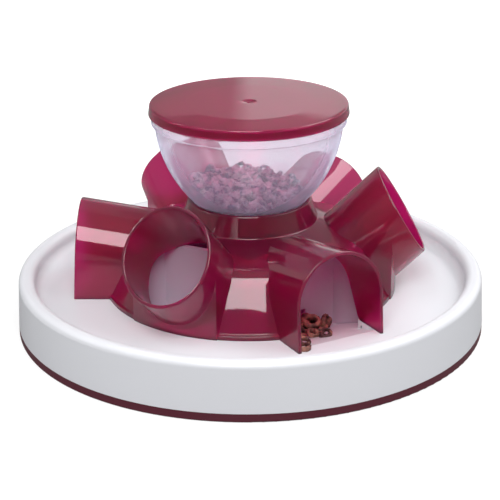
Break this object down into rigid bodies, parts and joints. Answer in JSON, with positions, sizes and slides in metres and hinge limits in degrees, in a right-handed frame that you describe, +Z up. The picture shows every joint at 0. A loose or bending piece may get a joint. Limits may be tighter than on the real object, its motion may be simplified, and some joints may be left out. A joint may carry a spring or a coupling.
{
  "type": "cat puzzle feeder",
  "caption": "Round feeding puzzle tray with floor arches and raised tunnels around a hub, fed from a lidded clear bowl on top.",
  "frame": {"origin": "centre of the underside of the grip ring, on the floor", "axes": "+Z up through the bowl, -Y to the front of the picture, +X to its right"},
  "size_m": [0.28, 0.28, 0.1357],
  "materials": {
    "grip_ring": "matt soft rubber, burgundy",
    "tray_white": "moulded white plastic, satin",
    "insert_burgundy": "polished translucent burgundy plastic",
    "clear_plastic": "clear plastic, slightly milky",
    "lid_burgundy": "polished burgundy plastic",
    "kibble": "dry kibble, matt brown"
  },
  "bodies": {
    "tray_body": {"base_ring": "grip_ring", "tray": "tray_white", "pocket_divider": "tray_white", "kibble_in_arch": "kibble"},
    "tunnel_insert": {"hub_shell": "insert_burgundy", "bowl_collar": "insert_burgundy", "arch_tunnel_rear_right": "insert_burgundy", "arch_tunnel_left": "insert_burgundy", "arch_tunnel_front_right": "insert_burgundy", "raised_tunnel_right": "insert_burgundy", "raised_tunnel_rear_left": "insert_burgundy", "raised_tunnel_front_left": "insert_burgundy", "pedestal_right": "insert_burgundy", "pedestal_rear_left": "insert_burgundy", "pedestal_front_left": "insert_burgundy"},
    "dosing_plate": {"dosing_plate": "clear_plastic"},
    "bowl": {"bowl": "clear_plastic", "kibble_in_bowl": "kibble"},
    "lid": {"lid": "lid_burgundy"}
  },
  "joints": [
    {"name": "insert_lift", "type": "slide", "parent": "tray_body", "child": "tunnel_insert", "axis": [0, 0, 1], "range_m": [0, 0.08]},
    {"name": "plate_lift", "type": "slide", "parent": "tunnel_insert", "child": "dosing_plate", "axis": [0, 0, 1], "range_m": [0, 0.04]},
    {"name": "bowl_turn", "type": "hinge", "parent": "dosing_plate", "child": "bowl", "pos_m": [0, 0, 0.0625], "axis": [0, 0, 1], "range_deg": [0, 60]},
    {"name": "lid_lift", "type": "slide", "parent": "bowl", "child": "lid", "axis": [0, 0, 1], "range_m": [0, 0.02]}
  ]
}
